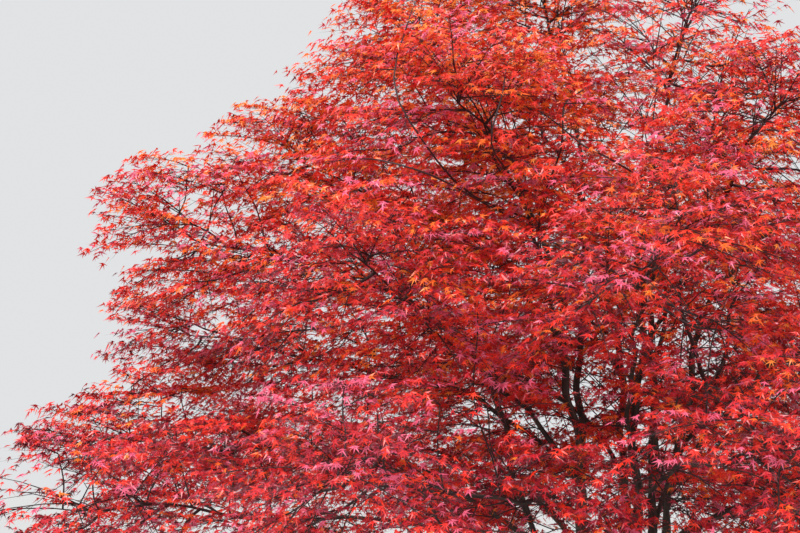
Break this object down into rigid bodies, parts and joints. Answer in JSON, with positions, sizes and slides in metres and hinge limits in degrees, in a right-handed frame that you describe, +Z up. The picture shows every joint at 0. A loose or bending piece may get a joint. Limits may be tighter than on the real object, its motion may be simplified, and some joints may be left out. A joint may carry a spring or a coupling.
{
  "type": "japanese maple tree",
  "caption": "Whole japanese maple in autumn: a flared trunk, arching stems and boughs, and tiers of red foliage around a broad crown.",
  "frame": {"origin": "centre of the flat cut under the trunk, at ground level", "axes": "+Z up the trunk, -Y towards the pictured front, +X to the right of the picture"},
  "size_m": [7.9529, 7.3963, 5.6191],
  "materials": {
    "bark": "matte, smooth grey-brown with faint lengthwise streaks",
    "foliage": "satin autumn leaves, crimson to orange-red"
  },
  "bodies": {
    "root": {"trunk": "bark", "left_stem": "bark", "crown_left_stem": "bark", "front_stem": "bark", "right_stem": "bark", "back_right_stem": "bark", "back_stem": "bark", "middle_stem": "bark", "left_low_bough": "bark", "left_front_low_bough": "bark", "front_left_low_bough": "bark", "front_low_bough": "bark", "front_right_low_bough": "bark", "right_low_bough": "bark", "right_back_low_bough": "bark", "back_right_low_bough": "bark", "back_low_bough": "bark", "back_left_low_bough": "bark", "front_left_second_bough": "bark", "front_second_bough": "bark", "front_right_second_bough": "bark", "right_second_bough": "bark", "back_right_second_bough": "bark", "back_second_bough": "bark", "back_left_second_bough": "bark", "left_third_bough": "bark", "front_left_third_bough": "bark", "front_right_third_bough": "bark", "back_right_third_bough": "bark", "back_left_third_bough": "bark", "left_foliage": "foliage", "crown_left_foliage": "foliage", "front_foliage": "foliage", "right_foliage": "foliage", "back_right_foliage": "foliage", "back_foliage": "foliage", "middle_foliage": "foliage", "left_low_foliage": "foliage", "left_front_low_foliage": "foliage", "front_left_low_foliage": "foliage", "front_low_foliage": "foliage", "front_right_low_foliage": "foliage", "right_low_foliage": "foliage", "right_back_low_foliage": "foliage", "back_right_low_foliage": "foliage", "back_low_foliage": "foliage", "back_left_low_foliage": "foliage", "front_left_second_foliage": "foliage", "front_second_foliage": "foliage", "front_right_second_foliage": "foliage", "right_second_foliage": "foliage", "back_right_second_foliage": "foliage", "back_second_foliage": "foliage", "back_left_second_foliage": "foliage", "left_third_foliage": "foliage", "front_left_third_foliage": "foliage", "front_right_third_foliage": "foliage", "back_right_third_foliage": "foliage", "back_left_third_foliage": "foliage"}
  },
  "joints": []
}
